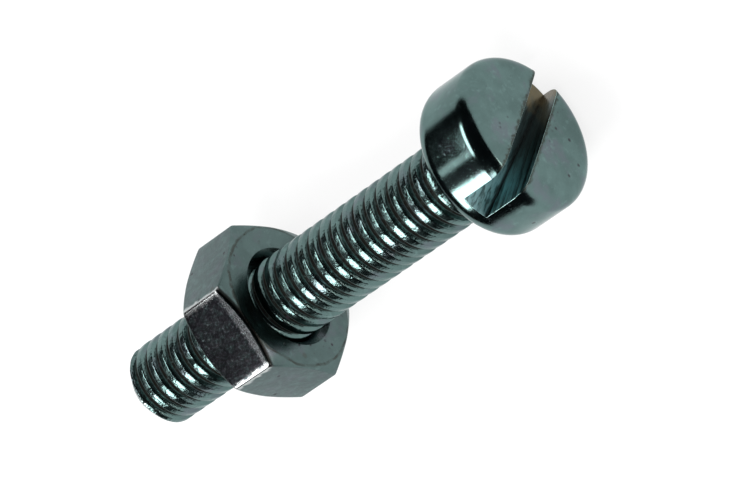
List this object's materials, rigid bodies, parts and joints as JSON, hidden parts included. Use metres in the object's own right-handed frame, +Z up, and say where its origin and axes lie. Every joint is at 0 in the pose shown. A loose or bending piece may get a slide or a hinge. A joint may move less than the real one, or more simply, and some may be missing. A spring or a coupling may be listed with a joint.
{
  "type": "machine screw",
  "caption": "Slotted machine screw with a round-shouldered cylindrical head and a full thread, and a chamfered hexagon nut that runs along it.",
  "frame": {"origin": "centre of the flat face under the screw's head, on the screw's axis", "axes": "+X along the screw's axis, from the tip to the head; +Z up as the screw lies, out of the nut's upper flat"},
  "size_m": [0.0254, 0.008, 0.0073],
  "materials": {
    "screw_zinc": "grey-green zinc plate, smooth on the head, with small specks and scratches",
    "nut_zinc": "dull grey-green zinc plate, smooth faces and lightly scratched flats"
  },
  "bodies": {
    "screw": {"screw": "screw_zinc"},
    "nut": {"hex_nut": "nut_zinc"}
  },
  "joints": [
    {"name": "nut_travel", "type": "slide", "parent": "screw", "child": "nut", "axis": [1, 0, 0], "range_m": [-0.006, 0.01125]}
  ]
}
